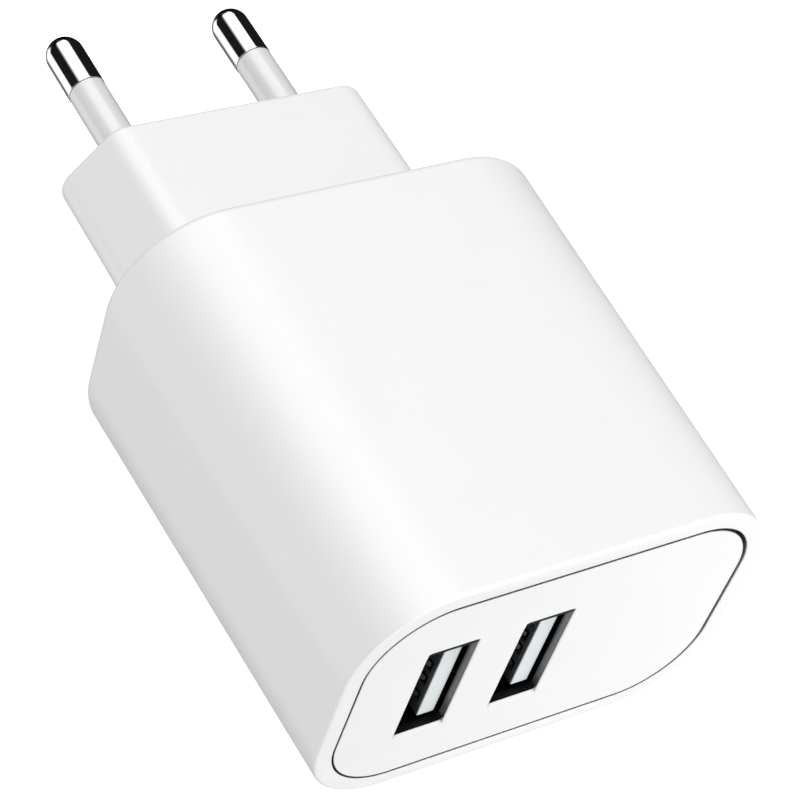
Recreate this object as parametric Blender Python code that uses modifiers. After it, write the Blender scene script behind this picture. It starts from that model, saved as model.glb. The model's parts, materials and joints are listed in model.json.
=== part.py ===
"""USB wall charger: a flat two-pin plug, a rounded housing and two upright USB-A ports.

Axes: +X across the two pins, +Y out of the plug face along the pins, +Z up through the thickness.
The origin is on the plug face, midway between the pins. All sizes are in metres.
"""

from math import cos, pi, sin

import bmesh
import bpy
from mathutils import Matrix, Vector

GAP = 0.0003                    # between pieces that meet
TOUCH = 1e-6                    # points nearer than this to a plane lie in it

# Plug
PIN_SPACING = 0.019
PIN_RADIUS = 0.002
PIN_LENGTH = 0.0186             # out of the plug face
PIN_METAL_LENGTH = 0.0072       # bare metal at the end of a pin
PIN_NECK_RADIUS = 0.0015        # under the sleeve
PIN_HEAD_RADIUS = 0.0026
PIN_HEAD_THICKNESS = 0.0012
PIN_SPIGOT_RADIUS = 0.0011
SPIGOT_TAIL = 0.002             # behind the retainer
PIN_HOLE_CLEARANCE = 0.0002
SLEEVE_RADIUS = 0.00195
SLEEVE_ROOT_Y = -0.0022
RUNNING_FIT = 0.0001            # between a sleeve and the neck inside it
PLUG_WIDTH = 0.0353
PLUG_THICKNESS = 0.0137
PLUG_FLAT = 0.025               # width of the flat above and below
PLUG_ROUND = 0.0022
PLUG_LEAST_ROUND = 0.0008       # of the hollow's corners
PLUG_FACE_ROUND = 0.0005
PLUG_DEPTH = 0.0194             # plug face to housing
PLUG_WALL = 0.002
PLUG_END_WALL = 0.0024
FLANGE_WIDTH = 0.039
FLANGE_HEIGHT = 0.0178
FLANGE_THICKNESS = 0.0018
FLANGE_RADIUS = 0.003
RETAINER_THICKNESS = 0.003
WIRE_RADIUS = 0.0007
WIRE_END = (0.0135, -0.0259)    # where each wire meets the main board

# Housing: a drafted sleeve, narrow at the ports
HOUSING_LENGTH = 0.0446
HOUSING_WIDTH = 0.0436
HOUSING_HEIGHT = 0.0284
HOUSING_RADIUS = 0.0094
DRAFT = 0.0011                  # each side grows by this from the front to the rear
REAR_ROUND = 0.0008
RIM_ROUND = 0.0003
RIM_WIDTH = 0.0018
REAR_WALL = 0.0024
MOUTH_DEPTH = 0.002
LEDGE = 0.0006                  # step that the front panel rests on
RAIL_HEIGHT = 0.0009            # guide rails for the main board
RAIL_X = (0.0161, 0.0193)
RAIL_Y = (-0.044, -0.032)

REAR_Y = -PLUG_DEPTH
FRONT_Y = REAR_Y - HOUSING_LENGTH
CAVITY_REAR_Y = REAR_Y - REAR_WALL

# Front panel
PANEL_GAP = 0.00025
PANEL_THICKNESS = 0.0017
PANEL_LIP = 0.0005              # thin edge round each window, in front of the metal shell
SKIRT_DEPTH = 0.0036
SKIRT_WALL = 0.0012
SKIRT_RADIUS = 0.0064

# USB-A receptacles, standing upright
PORT_X = (-0.01105, -0.00115)
PORT_WIDTH = 0.00512
PORT_HEIGHT = 0.0125
SHELL_SHEET = 0.0003
SHELL_LENGTH = 0.0136
SHELL_TAB = (0.0015, 0.0024)    # width and length of a solder tab
TONGUE_THICKNESS = 0.00184
TONGUE_HEIGHT = 0.0111
TONGUE_BACK_GAP = 0.0007        # tongue to the shell on the side with no contacts
TONGUE_RECESS = 0.00095         # behind the panel's face
TONGUE_CHAMFER = 0.00025
BASE_DEPTH = 0.0047
GROOVE_DEPTH = 0.0009
GROOVE_WIDTH = 0.0014
GROOVE_SETBACK = 0.00055        # from the tongue's front
CONTACT_WIDTH = 0.001
CONTACT_SHEET = 0.0002
CONTACT_SEAT = 0.0004           # the root lies this deep in its groove
CONTACT_TIP_SETBACK = 0.0009    # from the tongue's front
CONTACT_TIP_DEPTH = 0.00015
CONTACT_CROWN = ((0.00042, 0.0021), (0.00046, 0.0015), (0.00036, 0.0009))  # height, distance from tip
CONTACT_Z = {"vbus": 0.0035, "data_minus": 0.001, "data_plus": -0.001, "ground": -0.0035}

SHELL_FRONT_Y = FRONT_Y + PANEL_LIP + GAP
SHELL_REAR_Y = SHELL_FRONT_Y + SHELL_LENGTH
TONGUE_FRONT_Y = FRONT_Y + TONGUE_RECESS
BASE_FRONT_Y = SHELL_REAR_Y - BASE_DEPTH

# Boards
USB_BOARD_SIZE = (0.033, 0.0012, 0.0204)
USB_BOARD_RADIUS = 0.004
USB_BOARD_Y = SHELL_REAR_Y + GAP
MAIN_BOARD_LOW = (-0.0168, -0.0473, -0.0102)
MAIN_BOARD_HIGH = (0.0168, -0.025, -0.0086)
BOARD_TOP = MAIN_BOARD_HIGH[2]
SEAT_Z = BOARD_TOP + GAP        # underside of a component on the main board
LEAD_RADIUS = 0.0003
LEAD_TIP_Z = MAIN_BOARD_LOW[2] - 0.001
HOLE_RADIUS = 0.0006
HEADER_PITCH = 0.00254
HEADER_X = tuple(0.0025 + i * HEADER_PITCH for i in range(4))
HEADER_HEIGHT = 0.0025
HEADER_DEPTH = 0.0024
HEADER_Z = SEAT_Z + HEADER_HEIGHT / 2
CAN_RADIUS = 0.004
INPUT_CAN_LENGTH = 0.012
LEG_BEND = 0.0009               # from a can's end to where its legs turn down
OUTPUT_CAN_LENGTH = 0.0105
OUTPUT_CAN_X = 0.0077
OUTPUT_CAN_Z = (0.0048, -0.0048)
OUTPUT_LEG_OFFSET = 0.00125
SMALL_CHIP_THICKNESS = 0.0014
TRANSFORMER = Vector((0.0083, -0.0378, -0.0024))
CORE_SIZE = (0.0154, 0.0071, 0.005)
CORE_LEG = 0.002
CORE_CENTRE_LEG = 0.0042
CORE_BACK = 0.002
BOBBIN_WALL = 0.0005
BOBBIN_FLANGE = 0.0007
BOBBIN_HALF_HEIGHT = 0.0056
WINDING_RADIUS = 0.0016

LEADS = {
    "input_capacitor_1": ((-0.0138, -0.0449), (-0.0103, -0.0449)),
    "input_capacitor_2": ((-0.0056, -0.0449), (-0.0021, -0.0449)),
    "fusible_resistor": ((-0.0152, -0.0288), (-0.0048, -0.0288)),
    "surge_varistor": ((0.0108, -0.0287), (0.0152, -0.0287)),
    "suppression_capacitor": ((-0.0106, -0.0464), (-0.0058, -0.0464)),
    "filter_choke": ((0.0048, -0.028), (0.0078, -0.028)),
    "transformer_bobbin": ((0.0043, -0.0329), (0.0123, -0.0329), (0.0043, -0.0427), (0.0123, -0.0427)),
}


def clear_scene():
    for item in list(bpy.data.objects):
        bpy.data.objects.remove(item, do_unlink=True)


def new_collection(name):
    collection = bpy.data.collections.new(name)
    bpy.context.scene.collection.children.link(collection)
    return collection


def make_material(name, colour, roughness, metallic=0.0):
    material = bpy.data.materials.new(name)
    material.use_nodes = True
    shader = material.node_tree.nodes["Principled BSDF"]
    shader.inputs["Base Color"].default_value = (*colour, 1.0)
    shader.inputs["Roughness"].default_value = roughness
    shader.inputs["Metallic"].default_value = metallic
    return material


clear_scene()
PARTS = new_collection("usb_wall_charger")
CUTTERS = new_collection("cutters")

WHITE_SHELL = make_material("white_shell", (0.88, 0.88, 0.88), 0.35)
WHITE_SLEEVE = make_material("white_sleeve", (0.8, 0.8, 0.8), 0.4)
BLACK_NYLON = make_material("black_nylon", (0.03, 0.03, 0.03), 0.5)
NICKEL = make_material("nickel", (0.75, 0.74, 0.72), 0.12, 1.0)
STEEL_SHEET = make_material("steel_sheet", (0.5, 0.5, 0.5), 0.3, 1.0)
GOLD_PLATE = make_material("gold_plate", (0.83, 0.62, 0.28), 0.25, 1.0)
WHITE_INSERT = make_material("white_insert", (0.82, 0.84, 0.85), 0.45)
BROWN_WIRE = make_material("brown_wire", (0.2, 0.08, 0.03), 0.5)
BLUE_WIRE = make_material("blue_wire", (0.04, 0.12, 0.5), 0.5)
BOARD = make_material("board", (0.05, 0.2, 0.09), 0.5)
FERRITE = make_material("ferrite", (0.05, 0.05, 0.055), 0.6)
YELLOW_TAPE = make_material("yellow_tape", (0.8, 0.6, 0.08), 0.45)
COPPER_WIRE = make_material("copper_wire", (0.7, 0.3, 0.14), 0.35, 1.0)
CAN_SLEEVE = make_material("can_sleeve", (0.04, 0.05, 0.06), 0.35)
BLUE_DISC = make_material("blue_disc", (0.03, 0.16, 0.45), 0.4)
CHIP_BLACK = make_material("chip_black", (0.02, 0.02, 0.02), 0.55)
RESISTOR_GREEN = make_material("resistor_green", (0.1, 0.3, 0.2), 0.5)


# Building blocks

def add_box(bm, low, high):
    low, high = Vector(low), Vector(high)
    matrix = Matrix.Translation((low + high) / 2) @ Matrix.Diagonal((*(high - low), 1))
    return bmesh.ops.create_cube(bm, size=1, matrix=matrix)["verts"]


def add_rod(bm, start, end, radius, segments=12):
    start, end = Vector(start), Vector(end)
    turn = (end - start).to_track_quat("Z", "Y").to_matrix().to_4x4()
    bmesh.ops.create_cone(
        bm, cap_ends=True, segments=segments, radius1=radius, radius2=radius,
        depth=(end - start).length, matrix=Matrix.Translation((start + end) / 2) @ turn)


def edges_along(bm, axis):
    """Edges parallel to one axis: 0 is X, 1 is Y, 2 is Z."""
    chosen = []
    for edge in bm.edges:
        run = (edge.verts[1].co - edge.verts[0].co).normalized()
        if abs(run[axis]) > 0.999:
            chosen.append(edge)
    return chosen


def edges_at(bm, axis, place):
    """Edges that lie in the plane where one coordinate has this value."""
    return [edge for edge in bm.edges
            if all(abs(vert.co[axis] - place) < TOUCH for vert in edge.verts)]


def round_edges(bm, edges, width, segments):
    bmesh.ops.bevel(bm, geom=edges, offset=width, segments=segments, profile=0.5, affect="EDGES",
                    clamp_overlap=True)


def rounded_prism(bm, width, height, radius, front_y, rear_y, grow=0.0, segments=8):
    """A rounded rectangle run along Y; each side moves out by grow at the rear."""
    add_box(bm, (-width / 2, front_y, -height / 2), (width / 2, rear_y, height / 2))
    round_edges(bm, edges_along(bm, 1), radius, segments)
    for vert in bm.verts:
        if abs(vert.co.y - rear_y) < TOUCH:
            vert.co.x *= 1 + 2 * grow / width
            vert.co.z *= 1 + 2 * grow / height


def plug_prism(bm, inset, front_y, rear_y, segments=5):
    """The plug's long hexagon, with its outline moved in by inset, run along Y."""
    slant = Vector(((PLUG_WIDTH - PLUG_FLAT) / 2, PLUG_THICKNESS / 2)).normalized()
    half_width = PLUG_WIDTH / 2 - inset / slant.y
    half_flat = PLUG_FLAT / 2 - inset * (1 - slant.x) / slant.y
    half_height = PLUG_THICKNESS / 2 - inset
    lie_down = Matrix(((0, 1, 0), (0, 0, 1), (1, 0, 0))).to_4x4()
    verts = bmesh.ops.create_cone(bm, cap_ends=True, segments=6, radius1=1, radius2=1, depth=1,
                                  matrix=lie_down)["verts"]
    for vert in verts:
        side = 1 if vert.co.x > 0 else -1
        if abs(vert.co.z) < 0.1:
            vert.co.x, vert.co.z = side * half_width, 0
        else:
            vert.co.x, vert.co.z = side * half_flat, half_height if vert.co.z > 0 else -half_height
        vert.co.y = rear_y if vert.co.y > 0 else front_y
    round_edges(bm, edges_along(bm, 1), max(PLUG_ROUND - inset / 2, PLUG_LEAST_ROUND), segments)


def to_mesh(bm, name):
    bmesh.ops.recalc_face_normals(bm, faces=bm.faces[:])
    mesh = bpy.data.meshes.new(name)
    bm.to_mesh(mesh)
    bm.free()
    return mesh


def smooth(mesh):
    mesh.shade_smooth()
    mesh.set_sharp_from_angle(angle=pi / 6)


def add_part(name, mesh, material, location=(0, 0, 0)):
    mesh.materials.append(material)
    part = bpy.data.objects.new(name, mesh)
    part.location = location
    PARTS.objects.link(part)
    return part


def part_from(name, bm, material):
    mesh = to_mesh(bm, name)
    smooth(mesh)
    return add_part(name, mesh, material)


def add_boolean(part, bm, operation):
    """Cut a shape out of a part, or join one to it."""
    name = f"{part.name}_{operation.lower()}_{len(part.modifiers)}"
    tool = bpy.data.objects.new(name, to_mesh(bm, name))
    tool.hide_render = True
    tool.display_type = "WIRE"
    CUTTERS.objects.link(tool)
    modifier = part.modifiers.new(name, "BOOLEAN")
    modifier.operation = operation
    modifier.object = tool
    modifier.use_self = operation == "UNION"


def cut(part, bm):
    add_boolean(part, bm, "DIFFERENCE")


def join(part, bm):
    add_boolean(part, bm, "UNION")


def turned_part(name, profile, material, location, steps=24, closed=False):
    """Turn (radius, height) points about an axis that points along +Y.

    The points run down the outer side, from the highest height to the lowest.
    """
    mesh = bpy.data.meshes.new(name)
    edges = [(i, i + 1) for i in range(len(profile) - 1)]
    if closed:
        edges.append((len(profile) - 1, 0))
    mesh.from_pydata([(radius, 0, height) for radius, height in profile], edges, [])
    part = add_part(name, mesh, material, location)
    part.rotation_euler = (-pi / 2, 0, 0)
    screw = part.modifiers.new("turn", "SCREW")
    screw.steps = screw.render_steps = steps
    screw.use_merge_vertices = True
    screw.merge_threshold = 0.00001
    screw.use_smooth_shade = True
    return part


def strip_part(name, path, width, thickness, material, location):
    """A bent strip of sheet: a path of (x, y) points, width across Z."""
    bm = bmesh.new()
    rows = [[bm.verts.new((x, y, z)) for z in (-width / 2, width / 2)] for x, y in path]
    for start, end in zip(rows, rows[1:]):
        bm.faces.new((start[0], start[1], end[1], end[0]))
    mesh = to_mesh(bm, name)
    part = add_part(name, mesh, material, location)
    solid = part.modifiers.new("sheet", "SOLIDIFY")
    solid.thickness = thickness
    solid.offset = 0
    solid.use_even_offset = True
    return part


def wire_part(name, points, radius, material):
    curve = bpy.data.curves.new(name, "CURVE")
    curve.dimensions = "3D"
    curve.bevel_depth = radius
    curve.bevel_resolution = 2
    curve.use_fill_caps = True
    spline = curve.splines.new("POLY")
    spline.points.add(len(points) - 1)
    for point, place in zip(spline.points, points):
        point.co = (*place, 1)
    curve.materials.append(material)
    part = bpy.data.objects.new(name, curve)
    PARTS.objects.link(part)
    return part


def lead_rods(name, bm, top_z, tip_z=LEAD_TIP_Z, radius=LEAD_RADIUS):
    """The wire legs of a component on the main board."""
    for x, y in LEADS[name]:
        add_rod(bm, (x, y, tip_z), (x, y, top_z), radius, 8)


# Enclosure

def make_housing():
    bm = bmesh.new()
    rounded_prism(bm, HOUSING_WIDTH, HOUSING_HEIGHT, HOUSING_RADIUS, FRONT_Y, REAR_Y, DRAFT, 10)
    round_edges(bm, edges_at(bm, 1, REAR_Y), REAR_ROUND, 3)
    round_edges(bm, edges_at(bm, 1, FRONT_Y), RIM_ROUND, 1)
    housing = part_from("main_housing", bm, WHITE_SHELL)

    mouth_width = HOUSING_WIDTH - 2 * RIM_WIDTH
    mouth_height = HOUSING_HEIGHT - 2 * RIM_WIDTH
    mouth = bmesh.new()
    rounded_prism(mouth, mouth_width, mouth_height, HOUSING_RADIUS - RIM_WIDTH,
                  FRONT_Y - GAP, FRONT_Y + MOUTH_DEPTH, 0, 10)
    cut(housing, mouth)
    cavity = bmesh.new()
    rounded_prism(cavity, mouth_width - 2 * LEDGE, mouth_height - 2 * LEDGE,
                  HOUSING_RADIUS - RIM_WIDTH - LEDGE, FRONT_Y + MOUTH_DEPTH - GAP, CAVITY_REAR_Y,
                  DRAFT, 10)
    cut(housing, cavity)
    opening = bmesh.new()
    plug_prism(opening, -GAP, CAVITY_REAR_Y - GAP, REAR_Y + GAP)
    cut(housing, opening)

    # Two guide rails on each side hold the main board's edges.
    rails = bmesh.new()
    for side in (-1, 1):
        for low_z in (MAIN_BOARD_LOW[2] - GAP - RAIL_HEIGHT, SEAT_Z):
            ends = sorted((side * RAIL_X[0], side * RAIL_X[1]))
            add_box(rails, (ends[0], RAIL_Y[0], low_z), (ends[1], RAIL_Y[1], low_z + RAIL_HEIGHT))
    join(housing, rails)


def make_plug_body():
    bm = bmesh.new()
    plug_prism(bm, 0, CAVITY_REAR_Y - GAP, 0)
    round_edges(bm, edges_at(bm, 1, 0), PLUG_FACE_ROUND, 2)
    body = part_from("plug_body", bm, WHITE_SHELL)
    flange = bmesh.new()
    rounded_prism(flange, FLANGE_WIDTH, FLANGE_HEIGHT, FLANGE_RADIUS,
                  CAVITY_REAR_Y - GAP - FLANGE_THICKNESS, CAVITY_REAR_Y - GAP, 0, 3)
    join(body, flange)
    hollow = bmesh.new()
    plug_prism(hollow, PLUG_WALL, CAVITY_REAR_Y - 2 * GAP - FLANGE_THICKNESS, -PLUG_END_WALL, 3)
    cut(body, hollow)
    pin_holes = bmesh.new()
    for side in (-1, 1):
        x = side * PIN_SPACING / 2
        add_rod(pin_holes, (x, -PLUG_END_WALL - GAP, 0), (x, GAP, 0),
                SLEEVE_RADIUS + PIN_HOLE_CLEARANCE, 24)
    cut(body, pin_holes)


def make_front_panel():
    width = HOUSING_WIDTH - 2 * (RIM_WIDTH + PANEL_GAP)
    height = HOUSING_HEIGHT - 2 * (RIM_WIDTH + PANEL_GAP)
    back_y = FRONT_Y + PANEL_THICKNESS
    bm = bmesh.new()
    rounded_prism(bm, width, height, HOUSING_RADIUS - RIM_WIDTH - PANEL_GAP, FRONT_Y, back_y, 0, 10)
    panel = part_from("front_panel", bm, WHITE_SHELL)

    skirt_inset = LEDGE + GAP
    skirt = bmesh.new()
    rounded_prism(skirt, width - 2 * skirt_inset, height - 2 * skirt_inset, SKIRT_RADIUS,
                  back_y - GAP, back_y + SKIRT_DEPTH, 0, 8)
    join(panel, skirt)
    inner_inset = skirt_inset + SKIRT_WALL
    inside = bmesh.new()
    rounded_prism(inside, width - 2 * inner_inset, height - 2 * inner_inset,
                  SKIRT_RADIUS - SKIRT_WALL, back_y, back_y + SKIRT_DEPTH + GAP, 0, 8)
    cut(panel, inside)

    windows = bmesh.new()
    for x in PORT_X:
        half_width, half_height = PORT_WIDTH / 2, PORT_HEIGHT / 2
        add_box(windows, (x - half_width, FRONT_Y - GAP, -half_height),
                (x + half_width, back_y + GAP, half_height))
    cut(panel, windows)
    pockets = bmesh.new()
    for x in PORT_X:
        half_width = PORT_WIDTH / 2 + SHELL_SHEET + GAP
        half_height = PORT_HEIGHT / 2 + SHELL_SHEET + GAP
        add_box(pockets, (x - half_width, FRONT_Y + PANEL_LIP, -half_height),
                (x + half_width, back_y + GAP, half_height))
    cut(panel, pockets)


# Plug pins

def make_pin(name, side):
    x = side * PIN_SPACING / 2
    metal_y = PIN_LENGTH - PIN_METAL_LENGTH
    dome_steps = 7
    turns = [step * pi / 2 / dome_steps for step in range(dome_steps + 1)]
    dome = [(PIN_RADIUS * sin(turn), PIN_LENGTH - PIN_RADIUS * (1 - cos(turn))) for turn in turns]
    head_top = -PLUG_END_WALL - GAP
    head_bottom = head_top - PIN_HEAD_THICKNESS
    spigot_end = head_bottom - GAP - RETAINER_THICKNESS - SPIGOT_TAIL
    profile = dome + [
        (PIN_RADIUS, metal_y), (PIN_NECK_RADIUS, metal_y),
        (PIN_NECK_RADIUS, head_top), (PIN_HEAD_RADIUS, head_top),
        (PIN_HEAD_RADIUS, head_bottom), (PIN_SPIGOT_RADIUS, head_bottom),
        (PIN_SPIGOT_RADIUS, spigot_end), (0, spigot_end)]
    turned_part(name, profile, NICKEL, (x, 0, 0))

    inner = PIN_NECK_RADIUS + RUNNING_FIT
    top = metal_y - RUNNING_FIT
    sleeve = [(inner, top), (SLEEVE_RADIUS, top), (SLEEVE_RADIUS, SLEEVE_ROOT_Y), (inner, SLEEVE_ROOT_Y)]
    turned_part(f"{name}_sleeve", sleeve, WHITE_SLEEVE, (x, 0, 0), closed=True)
    return spigot_end


def make_pin_retainer():
    """A plate across the plug's hollow that holds both pin heads against the end wall."""
    front_y = -PLUG_END_WALL - 2 * GAP - PIN_HEAD_THICKNESS
    bm = bmesh.new()
    plug_prism(bm, PLUG_WALL + GAP, front_y - RETAINER_THICKNESS, front_y, 3)
    retainer = part_from("pin_retainer", bm, BLACK_NYLON)
    holes = bmesh.new()
    for side in (-1, 1):
        x = side * PIN_SPACING / 2
        add_rod(holes, (x, front_y - RETAINER_THICKNESS - GAP, 0), (x, front_y + GAP, 0),
                PIN_SPIGOT_RADIUS + GAP, 16)
    cut(retainer, holes)


def make_wire(name, side, start_y, material):
    x = side * PIN_SPACING / 2
    start = Vector((x, start_y - GAP, 0))
    end = Vector((side * WIRE_END[0], WIRE_END[1], SEAT_Z))
    lead_out, lead_in = Vector((0, -0.016, 0)), Vector((0, -0.001, 0.0073))
    points = []
    count = 14
    for step in range(count + 1):
        t = step / count
        points.append(start * (1 - t) ** 3 + (start + lead_out) * 3 * t * (1 - t) ** 2
                      + (end + lead_in) * 3 * t ** 2 * (1 - t) + end * t ** 3)
    wire_part(name, points, WIRE_RADIUS, material)


# USB ports

def make_usb_shell(number, x):
    half_width, half_height = PORT_WIDTH / 2, PORT_HEIGHT / 2
    bm = bmesh.new()
    add_box(bm, (x - half_width - SHELL_SHEET, SHELL_FRONT_Y, -half_height - SHELL_SHEET),
            (x + half_width + SHELL_SHEET, SHELL_REAR_Y, half_height + SHELL_SHEET))
    round_edges(bm, edges_along(bm, 1), SHELL_SHEET * 1.5, 2)
    shell = part_from(f"usb{number}_shell", bm, STEEL_SHEET)
    inside = bmesh.new()
    add_box(inside, (x - half_width, SHELL_FRONT_Y - GAP, -half_height),
            (x + half_width, SHELL_REAR_Y + GAP, half_height))
    cut(shell, inside)
    tabs = bmesh.new()
    tab_width, tab_length = SHELL_TAB
    for low_z in (-half_height - SHELL_SHEET, half_height):
        add_box(tabs, (x - tab_width / 2, SHELL_REAR_Y - 0.001, low_z),
                (x + tab_width / 2, SHELL_REAR_Y + tab_length, low_z + SHELL_SHEET))
    join(shell, tabs)


def tongue_face_x(x):
    """The side of the tongue that carries the contacts."""
    return x + PORT_WIDTH / 2 - TONGUE_BACK_GAP - TONGUE_THICKNESS


def make_usb_insulator(number, x):
    face_x = tongue_face_x(x)
    bm = bmesh.new()
    add_box(bm, (face_x, TONGUE_FRONT_Y, -TONGUE_HEIGHT / 2),
            (face_x + TONGUE_THICKNESS, SHELL_REAR_Y - GAP, TONGUE_HEIGHT / 2))
    round_edges(bm, edges_at(bm, 1, TONGUE_FRONT_Y), TONGUE_CHAMFER, 1)
    insulator = part_from(f"usb{number}_insulator", bm, WHITE_INSERT)
    base = bmesh.new()
    add_box(base, (x - PORT_WIDTH / 2 + GAP, BASE_FRONT_Y, -PORT_HEIGHT / 2 + GAP),
            (x + PORT_WIDTH / 2 - GAP, SHELL_REAR_Y, PORT_HEIGHT / 2 - GAP))
    join(insulator, base)
    grooves = bmesh.new()
    for z in CONTACT_Z.values():
        add_box(grooves, (face_x - GAP, TONGUE_FRONT_Y + GROOVE_SETBACK, z - GROOVE_WIDTH / 2),
                (face_x + GROOVE_DEPTH, BASE_FRONT_Y, z + GROOVE_WIDTH / 2))
    cut(insulator, grooves)


def make_usb_contact(number, x, name, z):
    """A sprung beam. Its origin is where it bends, near its root."""
    root_y = BASE_FRONT_Y - GAP
    tip_y = TONGUE_FRONT_Y + CONTACT_TIP_SETBACK
    bend = Vector((CONTACT_SEAT, root_y - 0.0007))
    path = [(CONTACT_SEAT, root_y), (CONTACT_SEAT, root_y - 0.0014), (-0.0001, root_y - 0.004)]
    path += [(-height, tip_y + distance) for height, distance in CONTACT_CROWN]
    path.append((CONTACT_TIP_DEPTH, tip_y))
    local = [(px - bend.x, py - bend.y) for px, py in path]
    strip_part(f"usb{number}_{name}_contact", local, CONTACT_WIDTH, CONTACT_SHEET, GOLD_PLATE,
               (tongue_face_x(x) + bend.x, bend.y, z))


# Boards and components

def make_usb_board():
    width, thickness, height = USB_BOARD_SIZE
    half_width, half_height = width / 2, height / 2
    bm = bmesh.new()
    add_box(bm, (-half_width, USB_BOARD_Y, -half_height),
            (half_width, USB_BOARD_Y + thickness, half_height))
    round_edges(bm, edges_along(bm, 1), USB_BOARD_RADIUS, 4)
    board = part_from("usb_board", bm, BOARD)
    slots = bmesh.new()
    for x in PORT_X:
        for side in (-1, 1):
            z = side * (PORT_HEIGHT / 2 + SHELL_SHEET / 2)
            add_box(slots, (x - SHELL_TAB[0] / 2 - GAP, USB_BOARD_Y - GAP, z - SHELL_SHEET / 2 - GAP),
                    (x + SHELL_TAB[0] / 2 + GAP, USB_BOARD_Y + thickness + GAP,
                     z + SHELL_SHEET / 2 + GAP))
    for x in HEADER_X:
        add_rod(slots, (x, USB_BOARD_Y - GAP, HEADER_Z), (x, USB_BOARD_Y + thickness + GAP, HEADER_Z),
                HOLE_RADIUS, 10)
    cut(board, slots)


def make_main_board():
    bm = bmesh.new()
    add_box(bm, MAIN_BOARD_LOW, MAIN_BOARD_HIGH)
    board = part_from("main_board", bm, BOARD)
    holes = bmesh.new()
    for places in LEADS.values():
        for x, y in places:
            add_rod(holes, (x, y, MAIN_BOARD_LOW[2] - GAP), (x, y, BOARD_TOP + GAP), HOLE_RADIUS, 8)
    cut(board, holes)


def make_board_header():
    """Links the two boards: a bar on the main board with pins through the USB board."""
    front_y = USB_BOARD_Y + USB_BOARD_SIZE[1] + GAP
    bm = bmesh.new()
    add_box(bm, (HEADER_X[0] - HEADER_PITCH / 2, front_y, SEAT_Z),
            (HEADER_X[-1] + HEADER_PITCH / 2, front_y + HEADER_DEPTH, SEAT_Z + HEADER_HEIGHT))
    header = part_from("board_header", bm, BLACK_NYLON)
    pins = bmesh.new()
    for x in HEADER_X:
        add_rod(pins, (x, USB_BOARD_Y, HEADER_Z), (x, front_y + 0.001, HEADER_Z),
                LEAD_RADIUS, 8)
    join(header, pins)


def make_can(name, centre, length, radius, legs):
    """An electrolytic capacitor lying along Y, with the groove near its leg end."""
    shoulder = 0.0004
    groove_depth, groove_y, groove_reach = 0.0003, 0.0016, 0.0004
    profile = [
        (0, length), (radius - shoulder, length), (radius, length - shoulder),
        (radius, groove_y + groove_reach), (radius - groove_depth, groove_y),
        (radius, groove_y - groove_reach), (radius, shoulder), (radius - shoulder, 0), (0, 0)]
    can = turned_part(name, profile, CAN_SLEEVE, centre, steps=20)
    join(can, legs)


def can_legs(name, centre):
    """Legs come out of the leg end and bend down through the board."""
    legs = bmesh.new()
    for x, y in LEADS[name]:
        tool_y = y - centre[1]
        x -= centre[0]
        add_box(legs, (x - LEAD_RADIUS, tool_y - LEAD_RADIUS, -LEAD_RADIUS),
                (x + LEAD_RADIUS, GAP, LEAD_RADIUS))
        add_box(legs, (x - LEAD_RADIUS, tool_y - LEAD_RADIUS, LEAD_TIP_Z - centre[2]),
                (x + LEAD_RADIUS, tool_y + LEAD_RADIUS, 0))
    bmesh.ops.translate(legs, verts=legs.verts[:], vec=centre)
    return legs


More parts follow.
